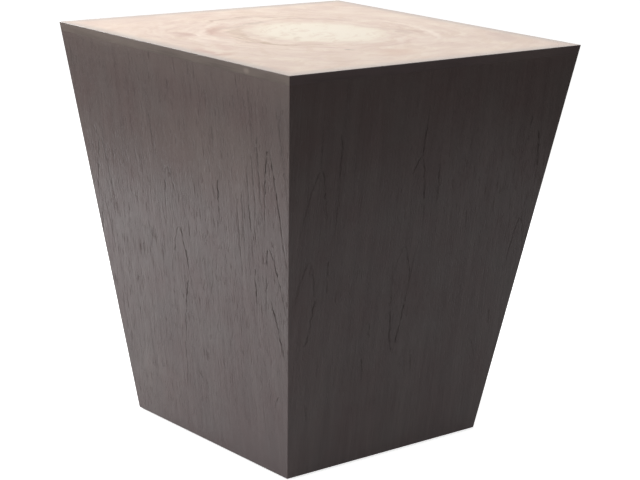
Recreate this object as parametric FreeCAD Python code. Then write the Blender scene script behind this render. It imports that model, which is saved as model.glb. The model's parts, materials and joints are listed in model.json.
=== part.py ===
# Tapered square side table: a veneered case with splined mitres, a stone slab top and levelling feet.
# The origin is on the floor under the middle of the table, +Z is up and the front faces -Y.
import FreeCAD
import Part

import math
import os

# Driving sizes, in millimetres
# Overall form
overall_height = 559.0
top_width = 508.0
base_width = 343.0
floor_gap = 2.0

# Slab, and the thin dark lipping that hides its sawn edge
slab_thickness = 12.0
lipping_thickness = 1.0
lipping_round = 0.5
corner_flat = 0.8

# Side panels: a core with a face veneer outside and a balancing veneer inside
core_thickness = 16.0
veneer_thickness = 1.0

# Loose splines, glued into stopped grooves across the mitred corners
spline_width = 16.0
spline_thickness = 4.0
spline_inset = 7.0
spline_end_stop = 30.0
groove_clearance = 0.1

# Boards that close the case at the top and at the bottom
sub_top_thickness = 18.0
base_board_thickness = 15.0
board_clearance = 0.3

# Cleats along the panels and glue blocks in the corners
cleat_depth = 22.0
cleat_height = 25.0
cleat_end_gap = 20.0
block_leg = 28.0
block_nose = 3.0

# Blunt countersunk connector screws with a hexagon socket, up through the base board
screw_diameter = 5.0
screw_head_diameter = 10.0
screw_socket_width = 4.0
screw_socket_depth = 2.5
screw_clearance = 0.1
screw_bite = 15.0

# Levelling feet: a stud turns in a flanged insert, and its disc swivels in a pad
stud_diameter = 8.0
stud_spare = 3.0
thread_clearance = 0.05
insert_barrel_diameter = 12.0
insert_flange_diameter = 19.0
insert_flange_thickness = 1.5
insert_clearance = 0.1
spanner_width = 13.0
collar_height = 4.0
collar_gap = 0.4
disc_diameter = 12.0
disc_thickness = 2.5
swivel_clearance = 0.3
pad_diameter = 28.0
pad_height = 6.0
pad_floor = 1.5
leveller_setback = 14.0
leveller_lift = 2.5
leveller_drop = 10.0
leveller_stop_gap = 0.6

# Sizes that follow from them
case_low = floor_gap
panel_high = overall_height - slab_thickness
panel_thickness = core_thickness + 2 * veneer_thickness
flare = (top_width - base_width) / 2
case_height = overall_height - case_low
slope = math.atan2(flare, case_height)
sub_top_low = panel_high - sub_top_thickness
top_cleat_low = sub_top_low - cleat_height
collar_low = pad_height + collar_gap
collar_high = collar_low + collar_height
insert_low = collar_high + leveller_lift + leveller_stop_gap
base_board_low = insert_low + insert_flange_thickness
base_board_high = base_board_low + base_board_thickness
base_cleat_low = base_board_high
screw_length = base_board_thickness + screw_bite
stud_high = base_board_high + leveller_drop + stud_spare
reach = 2 * top_width

FULL_TURN = 360
QUARTER_TURN = FULL_TURN / 4
HEXAGON_SIDES = 6
SIDES = ["front", "right", "back", "left"]
CORNERS = ["front_right", "back_right", "back_left", "front_left"]
Z_AXIS = FreeCAD.Vector(0, 0, 1)
CENTRE = FreeCAD.Vector(0, 0, 0)


def half_width(height, depth=0.0):
    """Half the tapered square's width at a height, to a layer this deep behind the outer face."""
    outer = base_width / 2 + flare * (height - case_low) / case_height
    return outer - depth / math.cos(slope)


def corner_point(height, depth):
    """The front right corner of a layer, at a height."""
    offset = half_width(height, depth)
    return FreeCAD.Vector(offset, -offset, height)


def one_solid(shape):
    """The only solid of a cut shape, with its split faces joined up again."""
    return shape.removeSplitter().Solids[0]


def swept(corners, path):
    """A straight prism: an outline of corner points moved along a path."""
    return Part.Face(Part.makePolygon(corners + corners[:1])).extrude(path)


def turned(outline):
    """A solid turned about the Z axis from an outline of (radius, height) points that starts on the axis."""
    points = [FreeCAD.Vector(radius, 0, height) for radius, height in outline]
    return Part.Face(Part.makePolygon(points + points[:1])).revolve(CENTRE, Z_AXIS, FULL_TURN)


def quarter(shape, count):
    """A copy of a shape, carried round the table by quarter turns."""
    copy = shape.copy()
    copy.rotate(CENTRE, Z_AXIS, QUARTER_TURN * count)
    return copy


def pattern_round(shape):
    """Four copies of a shape, one for each side or corner."""
    return [quarter(shape, count) for count in range(len(SIDES))]


def front_bar(section, length):
    """A bar along the front, whose section is a list of (y, z) points."""
    corners = [FreeCAD.Vector(-length / 2, y, z) for y, z in section]
    return swept(corners, FreeCAD.Vector(length, 0, 0))


def mitred(bar):
    """A front bar, cut off at both ends by the upright planes through the table's corners."""
    corners = [CENTRE, FreeCAD.Vector(-reach, -reach, 0), FreeCAD.Vector(reach, -reach, 0)]
    return one_solid(bar.common(swept(corners, Z_AXIS * reach)))


def front_layer(outer_depth, inner_depth, low, high):
    """One sloping layer of the front, between two depths and two heights, before its mitres are cut."""
    section = [
        (-half_width(low, outer_depth), low),
        (-half_width(low, inner_depth), low),
        (-half_width(high, inner_depth), high),
        (-half_width(high, outer_depth), high),
    ]
    return front_bar(section, reach)


def square_board(depth, low, high):
    """A level board with four sloping edges, which lies this deep behind the outer faces."""
    section = [
        (-half_width(low, depth), low),
        (half_width(low, depth), low),
        (half_width(high, depth), high),
        (-half_width(high, depth), high),
    ]
    bar = front_bar(section, reach)
    return one_solid(bar.common(quarter(bar, 1)))


def corner_bar(depth, width, thickness, low, high):
    """A bar that crosses the front right mitre squarely and follows the corner line of a layer."""
    start = corner_point(low, depth)
    along = corner_point(high, depth) - start
    across = FreeCAD.Vector(1, 1, 0).normalize() * (width / 2)
    inward = along.cross(across).normalize() * (thickness / 2)
    signs = [(1, 1), (1, -1), (-1, -1), (-1, 1)]
    return swept([start + across * side + inward * face for side, face in signs], along)


def corner_flats():
    """What sanding takes off the four sharp corners, from the floor to above the top."""
    bar = corner_bar(0, 2 * panel_thickness, corner_flat, -overall_height, 2 * overall_height)
    return pattern_round(bar)


def hexagon_bar(width, low, height):
    """A six-sided bar on the Z axis, this wide across its flats."""
    corner_radius = width / math.sqrt(3)
    step = math.radians(FULL_TURN / HEXAGON_SIDES)
    corners = [
        FreeCAD.Vector(corner_radius * math.cos(step * count), corner_radius * math.sin(step * count), low)
        for count in range(HEXAGON_SIDES)
    ]
    return swept(corners, Z_AXIS * height)


def screw_form(growth=0.0):
    """A countersunk connector screw that points up from its flat head, or with growth the hole it needs."""
    shank = screw_diameter / 2
    head = screw_head_diameter / 2
    return turned([
        (0, 0),
        (head + growth, 0),
        (shank + growth, head - shank),
        (shank + growth, screw_length + growth),
        (0, screw_length + growth),
    ])


def under_front_cleat(shape):
    """A shape made on the Z axis, moved to the front screw's place on the underside of the base board."""
    middle = half_width(base_cleat_low, panel_thickness) - cleat_depth / 2
    shape.translate(FreeCAD.Vector(0, -middle, base_board_low))
    return shape


def base_screw():
    """The front screw that holds the base board up to its cleat, with the hexagon socket in its head."""
    socket = hexagon_bar(screw_socket_width, 0, screw_socket_depth)
    return under_front_cleat(one_solid(screw_form().cut(socket)))


def screw_holes():
    """The holes for the base board's four screws."""
    return pattern_round(under_front_cleat(screw_form(screw_clearance)))


def cleat_length(low):
    """The cleats of one level stop short of the glue blocks in the corners."""
    return 2 * (half_width(low, panel_thickness) - block_leg - cleat_end_gap)


def front_cleat(low):
    """A cleat glued to the front panel: its back is planed to the slope and its inner face is upright."""
    high = low + cleat_height
    back_low = half_width(low, panel_thickness)
    back_high = half_width(high, panel_thickness)
    inner = back_low - cleat_depth
    section = [(-back_low, low), (-inner, low), (-inner, high), (-back_high, high)]
    return front_bar(section, cleat_length(low))


def grooves():
    """The stopped grooves for the splines at both ends of the front panel."""
    right = corner_bar(
        panel_thickness - spline_inset,
        spline_width + 2 * groove_clearance,
        spline_thickness + 2 * groove_clearance,
        case_low + spline_end_stop - groove_clearance,
        panel_high - spline_end_stop + groove_clearance,
    )
    return [right, quarter(right, -1)]


def slab():
    """The pale stone slab, bedded on the sub top and on the upper edges of the panels."""
    return square_board(lipping_thickness, panel_high, overall_height)


def is_upper_outer(edge):
    """Whether an edge is the long one at the top of the front, on the outer face."""
    spot = edge.CenterOfMass
    on_face = FreeCAD.Vector(0, -half_width(overall_height), overall_height)
    return spot.isEqual(on_face, lipping_thickness / 2)


def front_lipping():
    """The front strip of the lipping, with its upper outer edge rounded over and its corners eased."""
    bar = front_layer(0, lipping_thickness, panel_high, overall_height)
    upper = [edge for edge in bar.Edges if is_upper_outer(edge)]
    return one_solid(mitred(bar.makeFillet(lipping_round, upper)).cut(corner_flats()))


def front_face_veneer():
    """The dark veneer on the outside of the front panel, with its corners eased."""
    return one_solid(mitred(front_layer(0, veneer_thickness, case_low, panel_high)).cut(corner_flats()))


def front_core():
    """The front panel's core, grooved at both mitres for the splines."""
    blank = mitred(front_layer(veneer_thickness, panel_thickness - veneer_thickness, case_low, panel_high))
    return one_solid(blank.cut(grooves()))


def front_balancing_veneer():
    """The plain veneer on the inside of the front panel."""
    return mitred(front_layer(panel_thickness - veneer_thickness, panel_thickness, case_low, panel_high))


def corner_spline():
    """The plywood spline in the front right mitre."""
    low = case_low + spline_end_stop
    high = panel_high - spline_end_stop
    return corner_bar(panel_thickness - spline_inset, spline_width, spline_thickness, low, high)


def corner_block():
    """The glue block behind the front right mitre, with its nose planed off to clear the glue line."""
    start = corner_point(base_board_high, panel_thickness)
    along = corner_point(sub_top_low, panel_thickness) - start
    section = [(-block_nose, 0), (-block_leg, 0), (0, block_leg), (0, block_nose)]
    return swept([start + FreeCAD.Vector(x, y, 0) for x, y in section], along)


def sub_top():
    """The board that carries the slab, flush with the upper edges of the panels."""
    return square_board(panel_thickness + board_clearance, sub_top_low, panel_high)


def base_board():
    """The board that closes the bottom, drilled for its screws and for the levelling inserts."""
    board = square_board(panel_thickness + board_clearance, base_board_low, base_board_high)
    bore = Part.makeCylinder(insert_barrel_diameter / 2 + insert_clearance, base_board_thickness)
    bore.translate(leveller_spot(base_board_low))
    return one_solid(board.cut(screw_holes() + pattern_round(bore)))


def front_base_cleat():
    """The front cleat over the base board, drilled for the base board's screw."""
    return one_solid(front_cleat(base_cleat_low).cut(screw_holes()))


def leveller_spot(height):
    """The axis of the front right levelling foot, at a height."""
    offset = half_width(base_board_high, panel_thickness) - cleat_depth - leveller_setback
    return FreeCAD.Vector(offset, -offset, height)


def leveller_insert():
    """The flanged threaded insert: its flange bears on the underside of the base board."""
    barrel = insert_barrel_diameter / 2
    bore = stud_diameter / 2 + thread_clearance
    ring = turned([
        (0, 0),
        (insert_flange_diameter / 2, 0),
        (insert_flange_diameter / 2, insert_flange_thickness),
        (barrel, insert_flange_thickness),
        (barrel, insert_flange_thickness + base_board_thickness),
        (0, insert_flange_thickness + base_board_thickness),
    ])
    hole = Part.makeCylinder(bore, insert_flange_thickness + base_board_thickness)
    insert = one_solid(ring.cut(hole))
    insert.translate(leveller_spot(insert_low))
    return insert


def leveller_stud():
    """The stud of a levelling foot: a captive disc, a neck, the spanner collar and the threaded shank."""
    shank = stud_diameter / 2
    disc_low = pad_floor + swivel_clearance
    disc_high = disc_low + disc_thickness
    shaft = turned([
        (0, disc_low),
        (disc_diameter / 2, disc_low),
        (disc_diameter / 2, disc_high),
        (shank, disc_high),
        (shank, stud_high),
        (0, stud_high),
    ])
    collar = hexagon_bar(spanner_width, collar_low, collar_height)
    stud = one_solid(shaft.fuse(collar))
    stud.translate(leveller_spot(0))
    return stud


def leveller_pad():
    """The moulded pad that stands on the floor, hollowed for the stud's disc and neck."""
    floor = FreeCAD.Vector(0, 0, pad_floor)
    body = Part.makeCylinder(pad_diameter / 2, pad_height)
    socket_height = disc_thickness + 2 * swivel_clearance
    socket = Part.makeCylinder(disc_diameter / 2 + swivel_clearance, socket_height, floor)
    neck = Part.makeCylinder(stud_diameter / 2 + swivel_clearance, pad_height, floor)
    pad = one_solid(body.cut([socket, neck]))
    pad.translate(leveller_spot(0))
    return pad


def build_nodes():
    """Every piece of the table by name."""
    nodes = {"top_slab": slab(), "sub_top": sub_top(), "base_board": base_board()}
    side_pieces = {
        "lipping": front_lipping(),
        "face_veneer": front_face_veneer(),
        "panel_core": front_core(),
        "balancing_veneer": front_balancing_veneer(),
        "top_cleat": front_cleat(top_cleat_low),
        "base_cleat": front_base_cleat(),
    }
    for piece, shape in side_pieces.items():
        nodes.update({f"{side}_{piece}": copy for side, copy in zip(SIDES, pattern_round(shape))})
    corner_pieces = {
        "corner_spline": corner_spline(),
        "corner_block": corner_block(),
        "leveller_stud": leveller_stud(),
        "leveller_pad": leveller_pad(),
    }
    for piece, shape in corner_pieces.items():
        nodes.update({f"{corner}_{piece}": copy for corner, copy in zip(CORNERS, pattern_round(shape))})
    nodes["leveller_inserts"] = Part.makeCompound(pattern_round(leveller_insert()))
    nodes["base_board_screws"] = Part.makeCompound(pattern_round(base_screw()))
    return nodes


os.makedirs("parts", exist_ok=True)
for node, piece_shape in build_nodes().items():
    piece_shape.exportStep(f"parts/{node}.step")
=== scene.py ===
import json
import math

import bpy
from mathutils import Matrix, Vector


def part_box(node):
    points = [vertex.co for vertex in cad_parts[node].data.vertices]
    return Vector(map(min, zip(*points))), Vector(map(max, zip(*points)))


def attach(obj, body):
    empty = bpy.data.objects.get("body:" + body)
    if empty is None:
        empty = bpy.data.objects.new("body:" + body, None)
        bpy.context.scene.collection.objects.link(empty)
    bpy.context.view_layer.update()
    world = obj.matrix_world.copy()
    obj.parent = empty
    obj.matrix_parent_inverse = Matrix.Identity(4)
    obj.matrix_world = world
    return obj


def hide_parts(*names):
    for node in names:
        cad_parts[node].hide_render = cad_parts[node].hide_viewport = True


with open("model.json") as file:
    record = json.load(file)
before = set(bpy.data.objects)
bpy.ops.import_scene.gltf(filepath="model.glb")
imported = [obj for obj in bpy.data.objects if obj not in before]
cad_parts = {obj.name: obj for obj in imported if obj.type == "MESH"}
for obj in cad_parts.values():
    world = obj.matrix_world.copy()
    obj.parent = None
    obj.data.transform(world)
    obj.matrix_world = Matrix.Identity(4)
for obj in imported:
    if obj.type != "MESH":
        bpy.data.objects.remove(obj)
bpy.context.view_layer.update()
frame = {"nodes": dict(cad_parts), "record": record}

# Panel cores: four boards of pressed wood chips, sawn to the taper and mitred at the corners.
# Only their lower edges show, from underneath, and those are brushed with dark stain against damp.
MM_IN_METRE = 1000
SIDE_TURNS = {"front": 0, "right": 90, "back": 180, "left": 270}
CHIP_SIZE = 3.0
CHIP_TONES = [(0.0, "#7A5A3C"), (0.5, "#A98559"), (1.0, "#C9A877")]
SEALED_TONES = [(0.0, "#2B2321"), (1.0, "#43372F")]
SEALED_BELOW = 3.0


def linear(code):
    """An sRGB hex colour as linear red, green, blue and alpha."""
    channels = [int(code[start:start + 2], 16) / 255 for start in (1, 3, 5)]
    return [c / 12.92 if c <= 0.04045 else ((c + 0.055) / 1.055) ** 2.4 for c in channels] + [1.0]


def add_node(tree, kind, settings, inputs):
    """Adds a node: settings by name, and inputs by name or place, each a value, a node or an output."""
    node = tree.nodes.new("ShaderNode" + kind)
    for name, value in settings.items():
        if name == "stops":
            while len(node.color_ramp.elements) < len(value):
                node.color_ramp.elements.new(1.0)
            for element, (position, code) in zip(node.color_ramp.elements, value):
                element.position = position
                element.color = linear(code)
        else:
            setattr(node, name, value)
    in_use = [socket for socket in node.inputs if socket.enabled]
    for key, value in inputs.items():
        socket = in_use[key] if isinstance(key, int) else node.inputs[key]
        if isinstance(value, bpy.types.Node):
            value = next(output for output in value.outputs if output.enabled)
        if isinstance(value, bpy.types.NodeSocket):
            tree.links.new(value, socket)
        else:
            socket.default_value = value
    return node


def new_material(name):
    """An empty material and its node tree."""
    material = bpy.data.materials.new(name)
    material.use_nodes = True
    material.node_tree.nodes.clear()
    return material, material.node_tree


def millimetres(tree, turn=0, stretch=(1, 1, 1), lean=0):
    """A piece's own coordinates in millimetres, turned to the front, leant and divided by stretch."""
    place = add_node(tree, "TexCoord", {}, {})
    turned = add_node(tree, "Mapping", {}, {
        "Vector": place.outputs["Object"],
        "Rotation": (0, 0, math.radians(-turn)),
        "Scale": (MM_IN_METRE, MM_IN_METRE, MM_IN_METRE),
    })
    return add_node(tree, "Mapping", {"vector_type": "TEXTURE"}, {
        "Vector": turned, "Rotation": (0, math.radians(lean), 0), "Scale": stretch})


def finish_surface(tree, inputs):
    """Closes a material with one surface shader that takes these inputs."""
    surface = add_node(tree, "BsdfPrincipled", {}, inputs)
    add_node(tree, "OutputMaterial", {}, {"Surface": surface})


def dress(node, material):
    """Gives a carried-over piece its material."""
    frame["nodes"][node].material_slots[0].material = material


# Chipboard shows flakes of tan and brown wood pressed at random, dull and slightly rough where it was sawn.
chipboard, tree = new_material("sawn_chipboard_dark_sealed_edge")
place = millimetres(tree)
flakes = add_node(tree, "TexVoronoi", {"feature": "F1"}, {"Vector": place, "Scale": 1 / CHIP_SIZE})
tones = add_node(tree, "SeparateColor", {}, {"Color": flakes.outputs["Color"]})
chips = add_node(tree, "ValToRGB", {"stops": CHIP_TONES}, {"Fac": tones})
height = add_node(tree, "SeparateXYZ", {}, {"Vector": place})
sealed = add_node(tree, "Math", {"operation": "LESS_THAN"}, {0: height.outputs["Z"], 1: SEALED_BELOW})
stain = add_node(tree, "ValToRGB", {"stops": SEALED_TONES}, {"Fac": tones})
colour = add_node(tree, "Mix", {"data_type": "RGBA"}, {0: sealed, 1: chips, 2: stain})
relief = add_node(tree, "Bump", {}, {
    "Strength": 0.3, "Distance": 0.0003, "Height": flakes.outputs["Distance"]})
finish_surface(tree, {"Base Color": colour, "Roughness": 0.75, "Normal": relief})
for side in SIDE_TURNS:
    dress(f"{side}_panel_core", chipboard)

# Balancing veneer: a plain, unstained sheet on the inside of each panel, which keeps the panel flat.
# It is sliced along the trunk, so its grain is straight and upright, and it is only sanded.
BALANCING_GRAIN_WIDTH = 2.5
BALANCING_GRAIN_LENGTH = 120.0
for side, turn in SIDE_TURNS.items():
    # Bare sanded wood is light brown and dull, with fine upright streaks.
    material, tree = new_material(f"plain_sanded_veneer_{side}")
    place = millimetres(tree, turn, (BALANCING_GRAIN_WIDTH, BALANCING_GRAIN_WIDTH, BALANCING_GRAIN_LENGTH))
    grain = add_node(tree, "TexNoise", {}, {"Vector": place, "Scale": 1.0, "Detail": 3.0})
    colour = add_node(tree, "ValToRGB", {"stops": [(0.3, "#9A7650"), (0.7, "#BE9A70")]}, {"Fac": grain})
    relief = add_node(tree, "Bump", {}, {"Strength": 0.2, "Distance": 0.0002, "Height": grain})
    finish_surface(tree, {"Base Color": colour, "Roughness": 0.65, "Normal": relief})
    dress(f"{side}_balancing_veneer", material)

# Face veneer: crown-cut leaves of open-pored wood, laid upright, stained dark grey-brown and lacquered satin.
# The leaves are glued to the cores; the lacquer is thin, so the pores and the few dark grain lines stay open.
FACE_DEPTH = 10000.0  # far more than the leaf is thick, so that patterns are the same all through it
# The leaves lean a little, in degrees; streaks, wider bands and pores run along them and waver
GRAIN_LEAN = {"front": -2.4, "right": 0.8, "back": -1.0, "left": 1.0}
STREAK_WIDTH = 3.0
STREAK_LENGTH = 60.0
STREAK_SHARE = 0.55
BAND_WIDTH = 14.0
BAND_LENGTH = 260.0
GRAIN_WAVER = 0.35
PORE_WIDTH = 1.8
PORE_LENGTH = 25.0
MOTTLE_SIZE = 55.0
# How open the pores are on each side, and how much of that is left low down
PORE_OPENNESS = {"front": 0.42, "right": 0.7, "back": 0.8, "left": 1.0}
PORES_OPEN_ABOVE = 250.0
PORES_FILLED_BELOW = 90.0
PORES_LEFT_LOW = 0.7
# Lacquer that ran down fills the pores, and painted shade darkens the foot with it: its slope across the
# side, the levels between which both thin out, how bare it leaves the wood where it is full, and how much the
# painted shade darkens each side there
RUN_AND_SHADE_SLOPE = {"front": 0.0, "right": 0.0, "back": 0.0, "left": 0.45}
RUN_AND_SHADE_FULL_BELOW = -54.0
RUN_AND_SHADE_NONE_ABOVE = 116.0
RUN_LEAVES_BARE = 0.25
FOOT_PAINTED_SHADE = {"front": 0.0, "right": 0.1, "back": 0.1, "left": 0.6}
# Painted light along the top edge, strongest on the lit left side; relief levelled by thicker lacquer above,
# and uneven shine
TOP_LIGHT_FROM = 490.0
TOP_LIGHT_FULL = 560.0
TOP_PAINTED_LIGHT = {"front": 0.0, "right": 0.1, "back": 0.2, "left": 0.4}
RELIEF_FULL_BELOW = 340.0
RELIEF_LEVEL_ABOVE = 450.0
RELIEF_DEPTHS = (0.4, 0.12)
SHEEN_SPREAD = 0.14
# Dark grain lines: their strength on each side, their width and solid core, how soon they straighten up,
# their sway, the sizes of their jags and gaps, what is left in a gap, and how they fade along their length
LINE_STRENGTH = {"front": 0.75, "right": 0.9, "back": 0.9, "left": 1.0}
LINE_WIDTH = 2.1
LINE_CORE = 0.3
LINE_EASE = 0.65
LINE_SWAY = 3.2
JAG_WIDTH = 40.0
JAG_LENGTH = 8.0
BREAK_WIDTH = 8.0
BREAK_LENGTH = 12.0
LEFT_IN_BREAK = 0.15
LINE_FADE = [(0.0, "#000000"), (0.03, "#FFFFFF"), (0.5, "#FFFFFF"), (1.0, "#000000")]
# Each line is one arm of an arch, or a stem above it: how far right of the middle and how high it starts,
# where it ends, in millimetres, and how dark it is
GRAIN_LINES = {
    "left": [
        (199, 459, 214, 280, 1.0), (198, 458, 173, 330, 0.9),
        (180, 326, 206, 225, 1.0), (179, 325, 161, 225, 0.8),
        (170, 258, 195, 150, 1.0),
        (-14, 314, 0, 235, 0.9), (-15, 313, -38, 250, 0.5),
        (-5, 240, -30, 135, 1.0), (-30, 145, -35, 70, 0.5), (-4, 239, 14, 140, 0.3),
        (-28, 396, -13, 350, 0.6), (-29, 395, -43, 320, 0.7),
        (-184, 408, -207, 310, 0.8), (-183, 407, -163, 290, 0.6),
        (-195, 314, -212, 230, 0.6), (-193, 313, -176, 210, 0.5),
        (85, 398, 80, 335, 1.0),
        (169, 532, 166, 430, 0.4), (177, 472, 171, 350, 0.7), (222, 510, 228, 370, 0.5),
        (162, 450, 160, 300, 0.5), (150, 430, 145, 280, 0.6), (148, 292, 142, 220, 0.9),
        (135, 390, 128, 290, 0.5), (122, 380, 118, 250, 0.4),
        (-57, 462, -55, 390, 0.6), (84, 470, 83, 440, 0.5),
        (-10, 108, 6, 91, 0.7), (171, 119, 159, 97, 0.6),
    ],
    "front": [
        (-184, 433, -190, 505, 0.7), (-183, 432, -163, 350, 0.8), (-185, 431, -207, 340, 0.6),
        (-14, 431, -13, 535, 0.9), (-13, 430, 6, 335, 0.9), (-15, 431, -27, 405, 0.8),
        (-21, 309, 1, 240, 0.6), (-22, 308, -37, 250, 0.3),
        (-15, 157, 0, 310, 0.9), (-17, 157, -39, 300, 0.8),
        (-183, 311, -163, 235, 0.6), (-185, 310, -202, 240, 0.5), (-172, 192, -164, 290, 0.7),
        (198, 445, 211, 370, 1.0), (183, 470, 180, 420, 0.8),
        (193, 320, 208, 260, 0.6), (191, 320, 176, 245, 0.7),
        (19, 418, 26, 350, 0.7), (84, 345, 88, 300, 0.5),
        (-158, 478, -146, 325, 0.7), (-153, 308, -146, 240, 0.7),
        (-66, 207, -60, 170, 0.7), (-70, 156, -63, 116, 0.7),
        (130, 148, 147, 116, 0.7), (160, 187, 164, 162, 0.7),
        (18, 152, 26, 110, 0.5), (-158, 107, -152, 80, 0.6),
    ],
    "right": [
        (-158, 441, -140, 330, 0.9), (-160, 440, -181, 325, 0.8),
        (-156, 300, -136, 200, 0.8), (-158, 299, -176, 190, 0.7),
        (44, 470, 45, 540, 0.6), (44, 469, 62, 370, 0.8), (42, 468, 22, 350, 0.7),
        (39, 352, 57, 240, 0.9), (37, 351, 18, 260, 0.8), (43, 255, 60, 150, 0.6),
        (210, 430, 224, 320, 0.8), (208, 429, 190, 320, 0.6),
        (120, 300, 116, 220, 0.6), (-60, 200, -66, 110, 0.5),
    ],
    "back": [
        (-62, 480, -45, 380, 0.9), (-64, 479, -86, 350, 0.8),
        (-58, 333, -38, 220, 0.8), (-60, 332, -77, 230, 0.7),
        (-60, 212, -42, 110, 0.6), (-62, 211, -80, 90, 0.5),
        (140, 432, 140, 510, 0.6), (141, 431, 160, 330, 0.8), (139, 430, 118, 320, 0.7),
        (138, 300, 157, 200, 0.8), (136, 299, 119, 180, 0.6),
        (-190, 420, -172, 320, 0.7), (-192, 419, -208, 330, 0.5), (30, 240, 27, 160, 0.6),
    ],
}
# Places painted paler, mostly painted light: highlights along the top edge of each side, a sheen on the lit
# left side, faint paler patches near the foot and one small pale spot at the left side's top edge: how far
# right of the middle and how high, half the width and half the height in millimetres, and how pale
PAINTED_LIGHT_PATCHES = {
    "left": [
        (169, 553, 6.5, 3.6, 0.9), (-150, 556, 120, 16, 0.26),
        (90, 430, 170, 70, 0.12), (-115, 60, 80, 60, 0.07),
    ],
    "front": [(150, 554, 100, 12, 0.12), (0, 40, 100, 40, 0.04)],
    "right": [(-60, 555, 90, 14, 0.2)],
    "back": [(110, 556, 110, 14, 0.2)],
}
# A soft patch is full out to the first share of its half sizes, and gone at the second
PATCH_FULL = 0.3
PATCH_GONE = 1.3


def soft_patch(tree, place, centre, half_sizes, turn, strength):
    """How strongly an oval patch shows in each place, fading out towards its edge."""
    local = add_node(tree, "Mapping", {"vector_type": "TEXTURE"}, {
        "Vector": place, "Location": centre, "Rotation": (0, 0, math.radians(turn)), "Scale": half_sizes})
    off = add_node(tree, "VectorMath", {"operation": "LENGTH"}, {0: local})
    return add_node(tree, "MapRange", {"interpolation_type": "SMOOTHSTEP"}, {
        "Value": off.outputs["Value"], "From Min": PATCH_GONE, "From Max": PATCH_FULL, "To Max": strength})


def paint_light_patches(tree, side, face, colour):
    """Paints a colour paler in the places of one side, mostly painted highlight and sheen."""
    for across, height, half_width, half_height, strength in PAINTED_LIGHT_PATCHES[side]:
        centre = (across, 0.0, height)
        half_sizes = (half_width, FACE_DEPTH, half_height)
        light_patch = soft_patch(tree, face, centre, half_sizes, 0, strength)
        colour = add_node(tree, "Mix", {"data_type": "RGBA"}, {0: light_patch, 1: colour, 2: linear("#857A73")})
    return colour


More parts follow.
